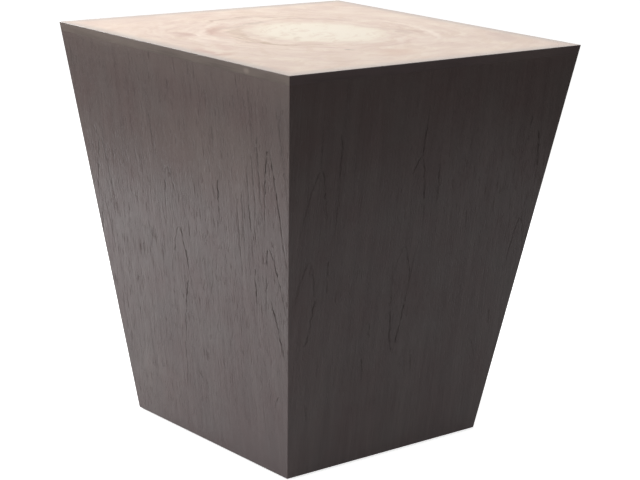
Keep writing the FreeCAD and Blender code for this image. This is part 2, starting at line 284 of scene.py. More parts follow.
def stained_veneer(side):
    """Stained, satin lacquered veneer: fine upright streaks and pores, soft clouds and dark grain lines."""
    material, tree = new_material(f"stained_crown_cut_veneer_{side}")
    turn, lean = SIDE_TURNS[side], GRAIN_LEAN[side]
    face = millimetres(tree, turn)
    axes = add_node(tree, "SeparateXYZ", {}, {"Vector": face})
    across, height = axes.outputs["X"], axes.outputs["Z"]

    # Streaks and wider bands run up the leaves; pores are dashes, some eight times too wide so that they show
    streak_place = millimetres(tree, turn, (STREAK_WIDTH, FACE_DEPTH, STREAK_LENGTH), lean)
    streaks = add_node(tree, "TexNoise", {}, {
        "Vector": streak_place, "Scale": 1.0, "Detail": 2.0, "Distortion": GRAIN_WAVER})
    band_place = millimetres(tree, turn, (BAND_WIDTH, FACE_DEPTH, BAND_LENGTH), lean)
    bands = add_node(tree, "TexNoise", {}, {"Vector": band_place, "Scale": 1.0, "Detail": 2.0})
    pore_place = millimetres(tree, turn, (PORE_WIDTH, FACE_DEPTH, PORE_LENGTH), lean)
    pore_noise = add_node(tree, "TexNoise", {}, {
        "Vector": pore_place, "Scale": 1.0, "Detail": 1.0, "Distortion": GRAIN_WAVER})
    # Lacquer that ran down while wet fills them at the foot, on the left side mostly at the front corner
    level = add_node(tree, "Math", {"operation": "MULTIPLY_ADD"}, {
        0: across, 1: -RUN_AND_SHADE_SLOPE[side], 2: height})
    bare_and_unshaded = add_node(tree, "MapRange", {}, {
        "Value": level, "From Min": RUN_AND_SHADE_FULL_BELOW, "From Max": RUN_AND_SHADE_NONE_ABOVE,
        "To Min": RUN_LEAVES_BARE, "To Max": 1.0})
    open_share = add_node(tree, "MapRange", {}, {
        "Value": height, "From Min": PORES_FILLED_BELOW, "From Max": PORES_OPEN_ABOVE,
        "To Min": PORES_LEFT_LOW * PORE_OPENNESS[side], "To Max": PORE_OPENNESS[side]})
    openness = add_node(tree, "Math", {"operation": "MULTIPLY"}, {0: open_share, 1: bare_and_unshaded})
    pores = add_node(tree, "MapRange", {"interpolation_type": "SMOOTHSTEP"}, {
        "Value": pore_noise, "From Min": 0.57, "From Max": 0.72, "To Max": openness})
    mottle = add_node(tree, "TexNoise", {}, {"Vector": face, "Scale": 1 / MOTTLE_SIZE, "Detail": 3.0})

    # Each grain line leaves its start at a slant, straightens up, sways a little and fades out at its far end
    jag_place = millimetres(tree, turn, (JAG_WIDTH, FACE_DEPTH, JAG_LENGTH))
    jag_noise = add_node(tree, "TexNoise", {}, {"Vector": jag_place, "Scale": 1.0, "Detail": 3.0})
    sway = add_node(tree, "Math", {"operation": "MULTIPLY_ADD"}, {
        0: jag_noise, 1: 2 * LINE_SWAY, 2: -LINE_SWAY})
    swayed = add_node(tree, "Math", {"operation": "ADD"}, {0: across, 1: sway})
    lines = None
    for start, start_height, end, end_height, darkness in GRAIN_LINES[side]:
        along = add_node(tree, "MapRange", {"clamp": False}, {
            "Value": height, "From Min": start_height, "From Max": end_height})
        eased = add_node(tree, "Math", {"operation": "POWER"}, {0: along, 1: LINE_EASE})
        middle = add_node(tree, "Math", {"operation": "MULTIPLY_ADD"}, {0: eased, 1: end - start, 2: start})
        off = add_node(tree, "Math", {"operation": "SUBTRACT"}, {0: swayed, 1: middle})
        away = add_node(tree, "Math", {"operation": "ABSOLUTE"}, {0: off})
        line = add_node(tree, "MapRange", {"interpolation_type": "SMOOTHSTEP"}, {
            "Value": away, "From Min": LINE_WIDTH, "From Max": LINE_CORE * LINE_WIDTH, "To Max": darkness})
        fade = add_node(tree, "ValToRGB", {"stops": LINE_FADE}, {"Fac": along})
        shown = add_node(tree, "Math", {"operation": "MULTIPLY"}, {0: line, 1: fade})
        if lines is None:
            lines = shown
        else:
            lines = add_node(tree, "Math", {"operation": "MAXIMUM"}, {0: lines, 1: shown})
    break_place = millimetres(tree, turn, (BREAK_WIDTH, FACE_DEPTH, BREAK_LENGTH))
    break_noise = add_node(tree, "TexNoise", {}, {"Vector": break_place, "Scale": 1.0, "Detail": 2.0})
    breaks = add_node(tree, "MapRange", {}, {
        "Value": break_noise, "From Min": 0.36, "From Max": 0.56,
        "To Min": LEFT_IN_BREAK * LINE_STRENGTH[side], "To Max": LINE_STRENGTH[side]})
    broken_lines = add_node(tree, "Math", {"operation": "MULTIPLY"}, {0: lines, 1: breaks})

    # Grey-brown stain, lighter and darker along the streaks and bands, redder and greyer in soft clouds
    figure = add_node(tree, "Math", {"operation": "MULTIPLY_ADD"}, {0: streaks, 1: STREAK_SHARE, 2: bands})
    wood = add_node(tree, "ValToRGB", {"stops": [(0.6, "#544949"), (1.0, "#625756")]}, {"Fac": figure})
    cloud = add_node(tree, "ValToRGB", {"stops": [(0.3, "#584949"), (0.7, "#5D5655")]}, {"Fac": mottle})
    mixed = add_node(tree, "Mix", {"data_type": "RGBA"}, {0: 0.5, 1: wood, 2: cloud})
    # Painted light: the stain is paler along the top edge, most on the lit left side
    top_light = add_node(tree, "MapRange", {"interpolation_type": "SMOOTHSTEP"}, {
        "Value": height, "From Min": TOP_LIGHT_FROM, "From Max": TOP_LIGHT_FULL,
        "To Max": TOP_PAINTED_LIGHT[side]})
    top_lit = add_node(tree, "Mix", {"data_type": "RGBA"}, {0: top_light, 1: mixed, 2: linear("#736965")})
    # Painted light: paler patches along the top edge and on the lit left side
    light_patched = paint_light_patches(tree, side, face, top_lit)
    # Painted shade: darker towards the foot, on the left side most towards the front corner
    foot_shade = add_node(tree, "MapRange", {}, {"Value": bare_and_unshaded, "To Min": FOOT_PAINTED_SHADE[side], "To Max": 0.0})
    foot_shaded = add_node(tree, "Mix", {"data_type": "RGBA"}, {0: foot_shade, 1: light_patched, 2: linear("#4A4041")})
    filled = add_node(tree, "Math", {"operation": "MULTIPLY"}, {0: pores, 1: 0.5})
    pored = add_node(tree, "Mix", {"data_type": "RGBA"}, {0: filled, 1: foot_shaded, 2: linear("#413837")})
    lined = add_node(tree, "Mix", {"data_type": "RGBA"}, {0: broken_lines, 1: pored, 2: linear("#352D2B")})

    # Pores and lines are hollows; the lacquer is thicker towards the top, and levels the relief there
    hollows = add_node(tree, "Math", {"operation": "MAXIMUM"}, {0: pores, 1: broken_lines})
    roughness = add_node(tree, "MapRange", {}, {"Value": hollows, "To Min": 0.22, "To Max": 0.42})
    grain = add_node(tree, "Math", {"operation": "MULTIPLY_ADD"}, {0: streaks, 1: -0.4, 2: hollows})
    deep = add_node(tree, "MapRange", {}, {
        "Value": height, "From Min": RELIEF_FULL_BELOW, "From Max": RELIEF_LEVEL_ABOVE,
        "To Min": RELIEF_DEPTHS[0], "To Max": RELIEF_DEPTHS[1]})
    depth = add_node(tree, "Math", {"operation": "MULTIPLY"}, {0: deep, 1: bare_and_unshaded})
    relief = add_node(tree, "Bump", {"invert": True}, {
        "Strength": depth, "Distance": 0.0012, "Height": grain})
    # The streaks take the lacquer unevenly, and the open pores have no shine at all
    spread = SHEEN_SPREAD * PORE_OPENNESS[side]
    sheen = add_node(tree, "MapRange", {}, {
        "Value": streaks, "From Min": 0.3, "From Max": 0.7, "To Min": 0.5 - spread, "To Max": 0.5 + spread})
    shiny = add_node(tree, "MapRange", {}, {"Value": hollows, "To Min": 1.0, "To Max": 0.1})
    gloss = add_node(tree, "Math", {"operation": "MULTIPLY"}, {0: sheen, 1: shiny})
    finish_surface(tree, {
        "Base Color": lined, "Roughness": roughness, "Specular IOR Level": gloss, "Normal": relief})
    return material


for side in SIDE_TURNS:
    dress(f"{side}_face_veneer", stained_veneer(side))

# Corner splines: strips of birch plywood, glued into stopped grooves across the mitres.
# The sub top is the same plywood; it lies on the top cleats and carries the slab.
PLY_THICKNESS = 1.5
BIRCH_FIGURE = (60.0, 4.0, 4.0)
birch, tree = new_material("sanded_birch_plywood")
# Birch ply is pale and even, with darker glue lines between its layers wherever an edge shows.
place = millimetres(tree)
layers = add_node(tree, "TexWave", {"bands_direction": "Z"}, {
    "Vector": place, "Scale": 1 / (2 * PLY_THICKNESS), "Distortion": 0.5})
figure_place = millimetres(tree, 0, BIRCH_FIGURE)
figure = add_node(tree, "TexNoise", {}, {"Vector": figure_place, "Scale": 1.0, "Detail": 3.0})
pale = add_node(tree, "ValToRGB", {"stops": [(0.3, "#D2B68A"), (0.7, "#E3CDA6")]}, {"Fac": figure})
colour = add_node(tree, "Mix", {"data_type": "RGBA", "blend_type": "MULTIPLY"}, {0: 0.25, 1: pale, 2: layers})
relief = add_node(tree, "Bump", {}, {"Strength": 0.2, "Distance": 0.0002, "Height": figure})
finish_surface(tree, {"Base Color": colour, "Roughness": 0.6, "Normal": relief})
CORNERS = ["front_right", "back_right", "back_left", "front_left"]
for corner in CORNERS:
    dress(f"{corner}_corner_spline", birch)
dress("sub_top", birch)

# Glue blocks in the corners, and cleats along the panels at both ends of the case.
# They are planed pine: the blocks stand upright, the cleats lie level, and all are glued to the panels.
PINE_RING = 4.0
PINE_GRAIN_LENGTH = 160.0
PINE_TONES = [(0.35, "#E0BE86"), (0.55, "#D3A667"), (0.7, "#B98749")]


def planed_pine(name, turn, stretch):
    """Planed pine: pale yellow wood with darker, even summer rings drawn out along the grain."""
    material, tree = new_material(name)
    rings = add_node(tree, "TexNoise", {}, {
        "Vector": millimetres(tree, turn, stretch), "Scale": 1.0, "Detail": 2.0, "Distortion": 0.4})
    colour = add_node(tree, "ValToRGB", {"stops": PINE_TONES}, {"Fac": rings})
    relief = add_node(tree, "Bump", {}, {"Strength": 0.2, "Distance": 0.0002, "Height": rings})
    finish_surface(tree, {"Base Color": colour, "Roughness": 0.55, "Normal": relief})
    return material


upright_pine = planed_pine("planed_pine_upright", 0, (PINE_RING, PINE_RING, PINE_GRAIN_LENGTH))
for corner in CORNERS:
    dress(f"{corner}_corner_block", upright_pine)
for side, turn in SIDE_TURNS.items():
    level_pine = planed_pine(f"planed_pine_{side}", turn, (PINE_GRAIN_LENGTH, PINE_RING, PINE_RING))
    dress(f"{side}_top_cleat", level_pine)
    dress(f"{side}_base_cleat", level_pine)

# Base board: plywood that closes the bottom of the case, screwed up to the base cleats.
# Its underside is rolled with one coat of black paint, through which the wood's grain still shows a little.
ROLLER_STIPPLE = 1.6
PAINTED_GRAIN = (90.0, 3.0, 3.0)
paint, tree = new_material("rolled_black_paint_on_plywood")
# Rolled paint dries to a dull black skin with a fine stipple from the roller.
place = millimetres(tree)
stipple = add_node(tree, "TexNoise", {}, {"Vector": place, "Scale": 1 / ROLLER_STIPPLE, "Detail": 2.0})
grain_place = millimetres(tree, 0, PAINTED_GRAIN)
grain = add_node(tree, "TexNoise", {}, {"Vector": grain_place, "Scale": 1.0, "Detail": 2.0})
colour = add_node(tree, "ValToRGB", {"stops": [(0.3, "#1A1918"), (0.75, "#262422")]}, {"Fac": grain})
roughness = add_node(tree, "MapRange", {}, {"Value": stipple, "To Min": 0.45, "To Max": 0.65})
skin = add_node(tree, "Math", {"operation": "ADD"}, {0: stipple, 1: grain})
relief = add_node(tree, "Bump", {}, {"Strength": 0.3, "Distance": 0.0003, "Height": skin})
finish_surface(tree, {"Base Color": colour, "Roughness": roughness, "Normal": relief})
dress("base_board", paint)

# Connector screws and levelling inserts: turned steel, plated with bright zinc.
# The screws hold the base board up; the inserts are pressed into it, with their flanges on its underside.
SPANGLE = 2.5
zinc, tree = new_material("bright_zinc_plated_steel")
# Zinc plate is a bluish bright metal whose fine crystals blur its reflections unevenly.
spangle = add_node(tree, "TexNoise", {}, {"Vector": millimetres(tree), "Scale": 1 / SPANGLE, "Detail": 3.0})
colour = add_node(tree, "ValToRGB", {"stops": [(0.3, "#B9BEC4"), (0.7, "#D5D8DC")]}, {"Fac": spangle})
roughness = add_node(tree, "MapRange", {}, {"Value": spangle, "To Min": 0.22, "To Max": 0.42})
relief = add_node(tree, "Bump", {}, {"Strength": 0.1, "Distance": 0.0001, "Height": spangle})
finish_surface(tree, {"Base Color": colour, "Roughness": roughness, "Metallic": 1.0, "Normal": relief})
dress("base_board_screws", zinc)
dress("leveller_inserts", zinc)

# Levelling feet, one in each corner: a zinc plated stud with a rolled thread, screwed up into its insert.
# A spanner turns its six-sided collar, and the round disc at its lower end swivels in the pad.
STUD_SIDES = 48
STUD_RADIUS = 4.0
THREAD_DEPTH = 0.7
THREAD_ROWS = 6
DISC_RADIUS = 6.0
DISC_THICKNESS = 2.5
COLLAR_WIDTH = 13.0
COLLAR_LOW = 6.4
COLLAR_HIGH = 10.4
EDGE_BREAK = 0.4
TIP_TAPER = 1.2
SHARP_ANGLE = 30.0


def skin_of_rings(name, rings, material):
    """A closed mesh skinned over rings of points, from a point on the axis at one end to one at the other."""
    count = len(rings[0])
    points = [point for ring in rings for point in ring]
    ends = [Vector((0, 0, rings[index][0].z)) for index in (0, -1)]
    faces = []
    for row in range(len(rings) - 1):
        for column in range(count):
            beside = (column + 1) % count
            faces.append([row * count + column, row * count + beside,
                          (row + 1) * count + beside, (row + 1) * count + column])
    first, last = len(points), len(points) + 1
    top_row = (len(rings) - 1) * count
    for column in range(count):
        beside = (column + 1) % count
        faces.append([first, beside, column])
        faces.append([last, top_row + column, top_row + beside])
    mesh = bpy.data.meshes.new(name)
    mesh.from_pydata([point / MM_IN_METRE for point in points + ends], [], faces)
    mesh.shade_smooth()
    mesh.set_sharp_from_angle(angle=math.radians(SHARP_ANGLE))
    mesh.materials.append(material)
    piece = bpy.data.objects.new(name, mesh)
    bpy.context.scene.collection.objects.link(piece)
    return piece


def ring_at(height, radius_at):
    """One ring of points round the axis, with its radius given for each angle."""
    angles = [2 * math.pi * side / STUD_SIDES for side in range(STUD_SIDES)]
    return [Vector((radius_at(a) * math.cos(a), radius_at(a) * math.sin(a), height)) for a in angles]


def collar_radius(angle):
    """The six-sided collar's radius at an angle."""
    sixth = math.pi / 3
    return COLLAR_WIDTH / 2 / math.cos(angle % sixth - sixth / 2)


def stud_rings(low, high, pitch):
    """The rings of a levelling stud from its disc up to its tip."""
    disc_high = low + DISC_THICKNESS
    plain = [
        (low, DISC_RADIUS - EDGE_BREAK),
        (low + EDGE_BREAK, DISC_RADIUS),
        (disc_high - EDGE_BREAK, DISC_RADIUS),
        (disc_high, DISC_RADIUS - EDGE_BREAK),
        (disc_high, STUD_RADIUS),
        (COLLAR_LOW, STUD_RADIUS),
    ]
    rings = [ring_at(height, lambda angle, radius=radius: radius) for height, radius in plain]
    chamfer = COLLAR_WIDTH / 2
    for height, limit in [(COLLAR_LOW, chamfer), (COLLAR_LOW + EDGE_BREAK, math.inf),
                          (COLLAR_HIGH - EDGE_BREAK, math.inf), (COLLAR_HIGH, chamfer)]:
        rings.append(ring_at(height, lambda angle, limit=limit: min(collar_radius(angle), limit)))
    rings.append(ring_at(COLLAR_HIGH, lambda angle: STUD_RADIUS))
    rows = round((high - COLLAR_HIGH) / pitch * THREAD_ROWS)
    for row in range(1, rows + 1):
        height = COLLAR_HIGH + (high - COLLAR_HIGH) * row / rows
        taper = max(0.0, TIP_TAPER - (high - height))

        def thread(angle, height=height, taper=taper):
            turn_share = (height / pitch - angle / (2 * math.pi)) % 1.0
            groove = THREAD_DEPTH * abs(2 * turn_share - 1)
            return min(STUD_RADIUS - groove, STUD_RADIUS - taper)

        rings.append(ring_at(height, thread))
    return rings


# The coupling gives the rise in metres for each radian of the stud's turn
thread_pitch = 2 * math.pi * MM_IN_METRE * frame["record"]["behaviour"]["couplings"][0]["ratio"]
for corner in CORNERS:
    lowest, highest = (MM_IN_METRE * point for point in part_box(f"{corner}_leveller_stud"))
    axis = (lowest + highest) / 2
    rings = stud_rings(lowest.z, highest.z, thread_pitch)
    place = Vector((axis.x, axis.y, 0))
    stud = skin_of_rings(f"{corner}_threaded_stud", rings, zinc)
    stud.data.transform(Matrix.Translation(place / MM_IN_METRE))
    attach(stud, f"{corner}_stud")
    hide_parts(f"{corner}_leveller_stud")

# Pads of the levelling feet: moulded in black nylon, with rounded rims and a socket for the stud's disc.
# They stand on the floor, set in under the case, so the table seems to rest on its own edges.
PAD_ROUND = 1.4
PAD_ROUND_STEPS = 5
PAD_FLOOR = 1.5
NECK_RADIUS = 4.3
SOCKET_RADIUS = 6.3
SOCKET_HEIGHT = 3.1
MOULD_GRAIN = 0.6
nylon, tree = new_material("moulded_black_nylon")
# Moulded nylon is dull black with a fine even grain from the tool.
place = millimetres(tree)
texture = add_node(tree, "TexNoise", {}, {"Vector": place, "Scale": 1 / MOULD_GRAIN, "Detail": 1.0})
colour = add_node(tree, "ValToRGB", {"stops": [(0.3, "#1C1C1E"), (0.7, "#28282A")]}, {"Fac": texture})
roughness = add_node(tree, "MapRange", {}, {"Value": texture, "To Min": 0.4, "To Max": 0.55})
relief = add_node(tree, "Bump", {}, {"Strength": 0.2, "Distance": 0.0001, "Height": texture})
finish_surface(tree, {"Base Color": colour, "Roughness": roughness, "IOR": 1.53, "Normal": relief})
for corner in CORNERS:
    lowest, highest = (MM_IN_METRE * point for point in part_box(f"{corner}_leveller_pad"))
    axis = (lowest + highest) / 2
    rim = (highest.x - lowest.x) / 2
    inner = rim - PAD_ROUND
    bends = [math.pi / 2 * step / PAD_ROUND_STEPS for step in range(PAD_ROUND_STEPS + 1)]
    profile = [(inner + PAD_ROUND * math.sin(b), lowest.z + PAD_ROUND * (1 - math.cos(b))) for b in bends]
    profile += [(inner + PAD_ROUND * math.cos(b), highest.z - PAD_ROUND * (1 - math.sin(b))) for b in bends]
    profile += [(NECK_RADIUS, highest.z), (NECK_RADIUS, PAD_FLOOR + SOCKET_HEIGHT)]
    profile += [(SOCKET_RADIUS, PAD_FLOOR + SOCKET_HEIGHT), (SOCKET_RADIUS, PAD_FLOOR)]
    rings = [ring_at(height, lambda angle, radius=radius: radius) for radius, height in profile]
    pad = skin_of_rings(f"{corner}_moulded_pad", rings, nylon)
    pad.data.transform(Matrix.Translation(Vector((axis.x, axis.y, 0)) / MM_IN_METRE))
    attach(pad, f"{corner}_pad")
    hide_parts(f"{corner}_leveller_pad")

# Top slab: a slice across a petrified trunk, sawn 12 mm thick, honed flat and bedded on the sub top.
# The pale heart of the trunk lies near the middle, and the old growth rings run round it out to the edges.
HEART_CENTRE = (8.0, 5.0, 0.0)
HEART_RADIUS = 103.0
HEART_SHARE = 0.92  # the width of the heart's oval against its length
HEART_TURN = -40.0  # its long way, in degrees
# The cream ends at this share of the radius, the plain stone begins a little further out, and the zones of
# colour end at so many radii
CREAM_END = 0.94
PLAIN_START = 0.96
ZONES_END = 4.0
ZONE_TONES = [
    (0.00, "#FCF0DC"),
    (0.19, "#FBEDD8"),
    (0.228, "#F4E2CD"),
    (0.272, "#DFC7B2"),
    (0.30, "#EBD3C2"),
    (0.34, "#E3C7B7"),
    (0.40, "#EED8C8"),
    (0.47, "#E8CDBB"),
    (0.60, "#EDD5C3"),
    (0.80, "#EBD1BF"),
    (1.00, "#E8CEBC"),
]
# The figure is bent by a broad warp and frayed by a fine one: the size of their swells and how far they push
WARP_SIZE = 85.0
WARP_REACH = 46.0
FRAY_SIZE = 20.0
FRAY_REACH = 25.0
# Fine growth rings, broken into arcs, over clouds and blotches
RING_WIDTH = 12.0
ARC_TURNS = 4.0
ARC_TONES = [(0.30, "#CDA48F"), (0.5, "#EDD2BF"), (0.70, "#FFF1DF")]
CLOUD_SIZE = 70.0
BLOTCH_SIZE = 42.0
BLOTCH_TONES = [(0.36, "#D9BBA9"), (0.5, "#EAD1BF"), (0.64, "#F7E4CE")]
# Tan streaks, and a greyer border along the rim, which is painted shade
TAN_STREAK = (38.0, 9.0)
TAN_STREAK_TURN = 35.0
RIM_SHADE_WIDTH = 28.0
RIM_SHADE_PAST_EDGE = 6.0
RIM_PAINTED_SHADE = 0.75
SLAB_DEPTH = 1000.0  # far more than the slab is thick, so that marks go right through it
# Stained and bleached patches among the rings: place, half length, half width, turn, strength and colour
PATCHES = [
    ((-113, 73), 58, 24, 57, 0.5, "#D2A993"),
    ((-167, 73), 34, 18, 65, 0.9, "#C9A08E"),
    ((-227, -47), 40, 15, 80, 0.8, "#CB9F8E"),
    ((-224, -82), 18, 12, 0, 0.8, "#C99A83"),
    ((-190, -40), 40, 10, 65, 0.6, "#D8B0A0"),
    ((-86, -5), 24, 7, 55, 0.6, "#D9C2A9"),
    ((-53, -22), 20, 7, 50, 0.6, "#DCC6AE"),
    ((-33, 15), 16, 6, 60, 0.5, "#DCC6AE"),
    ((-13, 112), 34, 9, 5, 0.7, "#C7AD99"),
    ((-80, 98), 44, 9, 30, 0.6, "#CDB19F"),
    ((122, -40), 44, 10, 60, 0.8, "#CBAB99"),
    ((20, -94), 26, 10, 20, 0.9, "#F3E0CB"),
    ((-13, -176), 55, 30, 15, 0.6, "#DCB398"),
    ((-57, -140), 8, 5, 60, 0.9, "#A0836F"),
    ((214, -147), 50, 24, 40, 0.7, "#CDAEA0"),
    ((100, 92), 50, 13, -25, 0.6, "#D7B8A6"),
    ((-170, 225), 160, 40, 0, 0.6, "#DCC3B4"),
    ((90, -190), 140, 70, 10, 0.3, "#FBE6D2"),
    ((195, 60), 60, 130, 0, 0.3, "#FBE6D2"),
]
# Rings that stand out: radius and half width against the cream's, heading from its long axis and how far
# they reach to both sides of that in degrees, strength and colour
RING_SOFTNESS = 1.2
RING_END_FADE = 15
RING_BREAK = 22.0
LEFT_IN_RING_BREAK = 0.45
RINGS = [
    (1.28, 0.05, 212, 10, 0.7, "#B9966F"),
    (1.40, 0.06, 228, 10, 0.8, "#B9966F"),
    (1.49, 0.06, 246, 14, 0.85, "#BB9872"),
    (1.32, 0.05, 268, 8, 0.6, "#BB9872"),
    (1.16, 0.05, 184, 10, 0.45, "#BF9F7C"),
    (1.22, 0.05, 200, 10, 0.7, "#BF9F7C"),
    (1.62, 0.06, 189, 12, 1.0, "#FFEAD9"),
    (1.76, 0.06, 209, 10, 0.9, "#FFEAD9"),
    (1.97, 0.06, 219, 8, 0.7, "#FFEAD9"),
    (1.46, 0.12, 192, 16, 0.9, "#C79884"),
    (1.30, 0.04, 193, 8, 0.6, "#FFE6D3"),
    (1.44, 0.05, 212, 8, 0.7, "#FFE6D3"),
    (1.68, 0.05, 222, 8, 0.6, "#FFE6D3"),
    (1.74, 0.08, 42, 14, 0.8, "#FFEBDA"),
    (1.71, 0.08, 18, 16, 0.9, "#FFEBDA"),
    (1.47, 0.08, 20, 12, 0.4, "#C4A186"),
    (1.25, 0.07, 149, 12, 0.7, "#BFA38D"),
    (1.82, 0.06, 138, 12, 0.8, "#C5A28B"),
    (1.72, 0.06, 121, 12, 0.8, "#C5A28B"),
    (1.48, 0.06, 98, 14, 0.8, "#C5A28B"),
    (1.10, 0.05, 311, 16, 0.9, "#FFF0E0"),
]
slice_material, tree = new_material("honed_petrified_wood")
# Petrified wood is stone: a cream heart in rosy and tan rings, all hazy and uneven, with a satin shine.
place = millimetres(tree)
centred = add_node(tree, "VectorMath", {"operation": "SUBTRACT"}, {0: place, 1: HEART_CENTRE})
warped = centred
for size, reach, detail in [(WARP_SIZE, WARP_REACH, 2.0), (FRAY_SIZE, FRAY_REACH, 3.0)]:
    noise = add_node(tree, "TexNoise", {}, {"Vector": centred, "Scale": 1 / size, "Detail": detail})
    push = add_node(tree, "VectorMath", {"operation": "SUBTRACT"}, {
        0: noise.outputs["Color"], 1: (0.5, 0.5, 0.5)})
    warped = add_node(tree, "VectorMath", {"operation": "MULTIPLY_ADD"}, {
        0: push, 1: (reach, reach, 0.0), 2: warped})
turned = add_node(tree, "Mapping", {"vector_type": "TEXTURE"}, {
    "Vector": warped, "Rotation": (0, 0, math.radians(HEART_TURN))})
oval = add_node(tree, "VectorMath", {"operation": "MULTIPLY"}, {0: turned, 1: (1.0, 1 / HEART_SHARE, 0.0)})
radius = add_node(tree, "VectorMath", {"operation": "LENGTH"}, {0: oval})
share = add_node(tree, "Math", {"operation": "DIVIDE"}, {
    0: radius.outputs["Value"], 1: ZONES_END * HEART_RADIUS})
zones = add_node(tree, "ValToRGB", {"stops": ZONE_TONES}, {"Fac": share})
cloud = add_node(tree, "TexNoise", {}, {"Vector": warped, "Scale": 1 / CLOUD_SIZE, "Detail": 4.0})
plain = add_node(tree, "Math", {"operation": "GREATER_THAN"}, {0: share, 1: PLAIN_START / ZONES_END})
haze = add_node(tree, "MapRange", {}, {"Value": cloud, "From Min": 0.4, "From Max": 0.6, "To Max": 0.8})
hazed = add_node(tree, "Math", {"operation": "MULTIPLY"}, {0: haze, 1: plain})
hazy = add_node(tree, "Mix", {"data_type": "RGBA"}, {0: hazed, 1: zones, 2: linear("#EFD6C4")})
# Away from the heart the stone is blotched, rose grey in some places and cream in others
blotch = add_node(tree, "TexNoise", {}, {"Vector": warped, "Scale": 1 / BLOTCH_SIZE, "Detail": 2.0})
blotch_tone = add_node(tree, "ValToRGB", {"stops": BLOTCH_TONES}, {"Fac": blotch})
blotched_share = add_node(tree, "Math", {"operation": "MULTIPLY"}, {0: plain, 1: 0.5})
blotched = add_node(tree, "Mix", {"data_type": "RGBA"}, {0: blotched_share, 1: hazy, 2: blotch_tone})
# Each ring is broken into arcs: the noise runs on from ring to ring and with the heading from the heart
ring_count = add_node(tree, "Math", {"operation": "DIVIDE"}, {0: radius.outputs["Value"], 1: RING_WIDTH})
heading = add_node(tree, "VectorMath", {"operation": "NORMALIZE"}, {0: oval})
ring_axis = add_node(tree, "CombineXYZ", {}, {"Z": ring_count})
arc_place = add_node(tree, "VectorMath", {"operation": "MULTIPLY_ADD"}, {
    0: heading, 1: (ARC_TURNS, ARC_TURNS, 0.0), 2: ring_axis})
arcs = add_node(tree, "TexNoise", {}, {"Vector": arc_place, "Scale": 1.0, "Detail": 3.0})
arc_tone = add_node(tree, "ValToRGB", {"stops": ARC_TONES}, {"Fac": arcs})
arc_start = add_node(tree, "MapRange", {}, {"Value": share, "From Min": 0.2, "From Max": 0.3, "To Max": 0.5})
arc_end = add_node(tree, "MapRange", {}, {
    "Value": share, "From Min": 0.4, "From Max": 0.6, "To Min": 1.0, "To Max": 0.45})
arc_share = add_node(tree, "Math", {"operation": "MULTIPLY"}, {0: arc_start, 1: arc_end})
ringed = add_node(tree, "Mix", {"data_type": "RGBA"}, {0: arc_share, 1: blotched, 2: arc_tone})
# The rings that stand out are bands at one radius, weaker where the break noise is low
reach = add_node(tree, "Math", {"operation": "DIVIDE"}, {
    0: radius.outputs["Value"], 1: CREAM_END * HEART_RADIUS})
break_noise = add_node(tree, "TexNoise", {}, {"Vector": warped, "Scale": 1 / RING_BREAK, "Detail": 2.0})
breaks = add_node(tree, "MapRange", {}, {
    "Value": break_noise, "From Min": 0.38, "From Max": 0.54, "To Min": LEFT_IN_RING_BREAK})
for ring_radius, half_width, ring_heading, ring_reach, strength, tone in RINGS:
    off = add_node(tree, "Math", {"operation": "SUBTRACT"}, {0: reach, 1: ring_radius})
    away = add_node(tree, "Math", {"operation": "ABSOLUTE"}, {0: off})
    ring = add_node(tree, "MapRange", {"interpolation_type": "SMOOTHSTEP"}, {
        "Value": away, "From Min": RING_SOFTNESS * half_width, "From Max": 0.0, "To Max": strength})
    ring_way = (math.cos(math.radians(ring_heading)), math.sin(math.radians(ring_heading)), 0.0)
    along = add_node(tree, "VectorMath", {"operation": "DOT_PRODUCT"}, {0: heading, 1: ring_way})
    near = add_node(tree, "MapRange", {"interpolation_type": "SMOOTHSTEP"}, {
        "Value": along.outputs["Value"],
        "From Min": math.cos(math.radians(ring_reach + RING_END_FADE)),
        "From Max": math.cos(math.radians(ring_reach - RING_END_FADE)),
    })
    whole = add_node(tree, "Math", {"operation": "MULTIPLY"}, {0: ring, 1: near})
    shown = add_node(tree, "Math", {"operation": "MULTIPLY"}, {0: whole, 1: breaks})
    ringed = add_node(tree, "Mix", {"data_type": "RGBA"}, {0: shown, 1: ringed, 2: linear(tone)})
# Short tan streaks run through the whole slice, and show most in the heart
streak_place = add_node(tree, "Mapping", {"vector_type": "TEXTURE"}, {
    "Vector": warped, "Rotation": (0, 0, math.radians(TAN_STREAK_TURN)), "Scale": (*TAN_STREAK, SLAB_DEPTH)})
flow = add_node(tree, "TexNoise", {}, {"Vector": streak_place, "Scale": 1.0, "Detail": 4.0})
streaks = add_node(tree, "MapRange", {"interpolation_type": "SMOOTHSTEP"}, {
    "Value": flow, "From Min": 0.50, "From Max": 0.34, "To Max": 0.42})
colour = add_node(tree, "Mix", {"data_type": "RGBA"}, {0: streaks, 1: ringed, 2: linear("#DFC2A9")})
for (x, y), half_length, half_width, turn, strength, tone in PATCHES:
    centre = (x - HEART_CENTRE[0], y - HEART_CENTRE[1], 0.0)
    patch = soft_patch(tree, warped, centre, (half_length, half_width, SLAB_DEPTH), turn, strength)
    colour = add_node(tree, "Mix", {"data_type": "RGBA"}, {0: patch, 1: colour, 2: linear(tone)})
